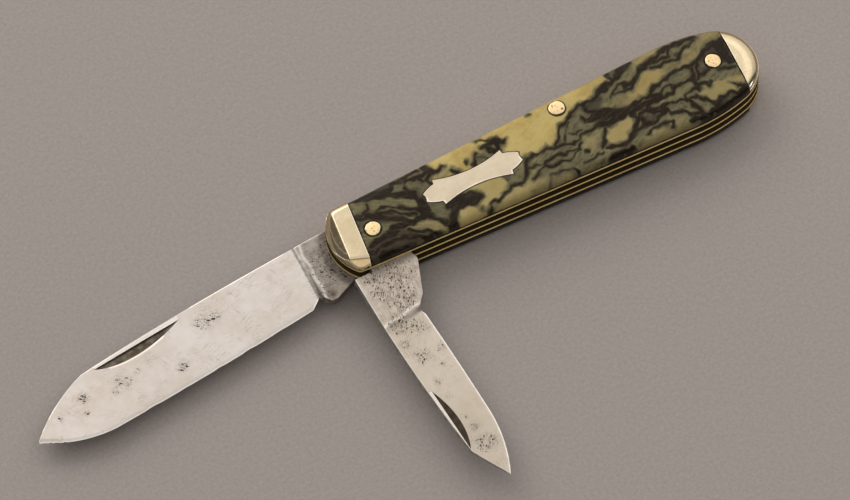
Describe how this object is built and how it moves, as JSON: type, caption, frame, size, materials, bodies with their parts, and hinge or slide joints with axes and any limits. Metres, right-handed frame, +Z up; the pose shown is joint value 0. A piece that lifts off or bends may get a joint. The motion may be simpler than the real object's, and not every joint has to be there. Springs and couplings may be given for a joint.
{
  "type": "folding pocket knife",
  "caption": "Slip-joint pocket knife with a spear blade and a pen blade on the same pivot, brass liners, nickel silver bolsters and shield, and marbled celluloid scales.",
  "frame": {"origin": "middle of the flat pile side face that the knife lies on", "axes": "+X along the handle towards the cap end, +Y towards the backs of the springs, +Z up out of the mark side with the shield"},
  "size_m": [0.1504, 0.0648, 0.0097],
  "materials": {
    "brass": "aged, edges polished by wear",
    "nickel_silver": "polished, lightly worn",
    "celluloid": "glossy, cream with dark veins",
    "spring_steel": "aged, dark",
    "blade_steel": "satin, worn, with small pits"
  },
  "bodies": {
    "handle": {"mark_liner": "brass", "centre_liner": "brass", "pile_liner": "brass", "mark_front_bolster": "nickel_silver", "pile_front_bolster": "nickel_silver", "mark_cap_bolster": "nickel_silver", "pile_cap_bolster": "nickel_silver", "mark_scale": "celluloid", "pile_scale": "celluloid", "shield": "nickel_silver", "shield_front_pin": "nickel_silver", "shield_rear_pin": "nickel_silver", "main_spring": "spring_steel", "pen_spring": "spring_steel", "pivot_pin": "brass", "spring_pin": "brass", "end_pin": "brass"},
    "main_blade": {"main_blade": "blade_steel"},
    "pen_blade": {"pen_blade": "blade_steel"}
  },
  "joints": [
    {"name": "main_blade_hinge", "type": "hinge", "parent": "handle", "child": "main_blade", "pos_m": [-0.03525, -0.001, 0.00373], "axis": [0, 0, 1], "range_deg": [0, 172], "deforming": ["main_spring"]},
    {"name": "pen_blade_hinge", "type": "hinge", "parent": "handle", "child": "pen_blade", "pos_m": [-0.03525, -0.001, 0.00592], "axis": [0, 0, 1], "range_deg": [-90, 86], "deforming": ["pen_spring"]}
  ]
}
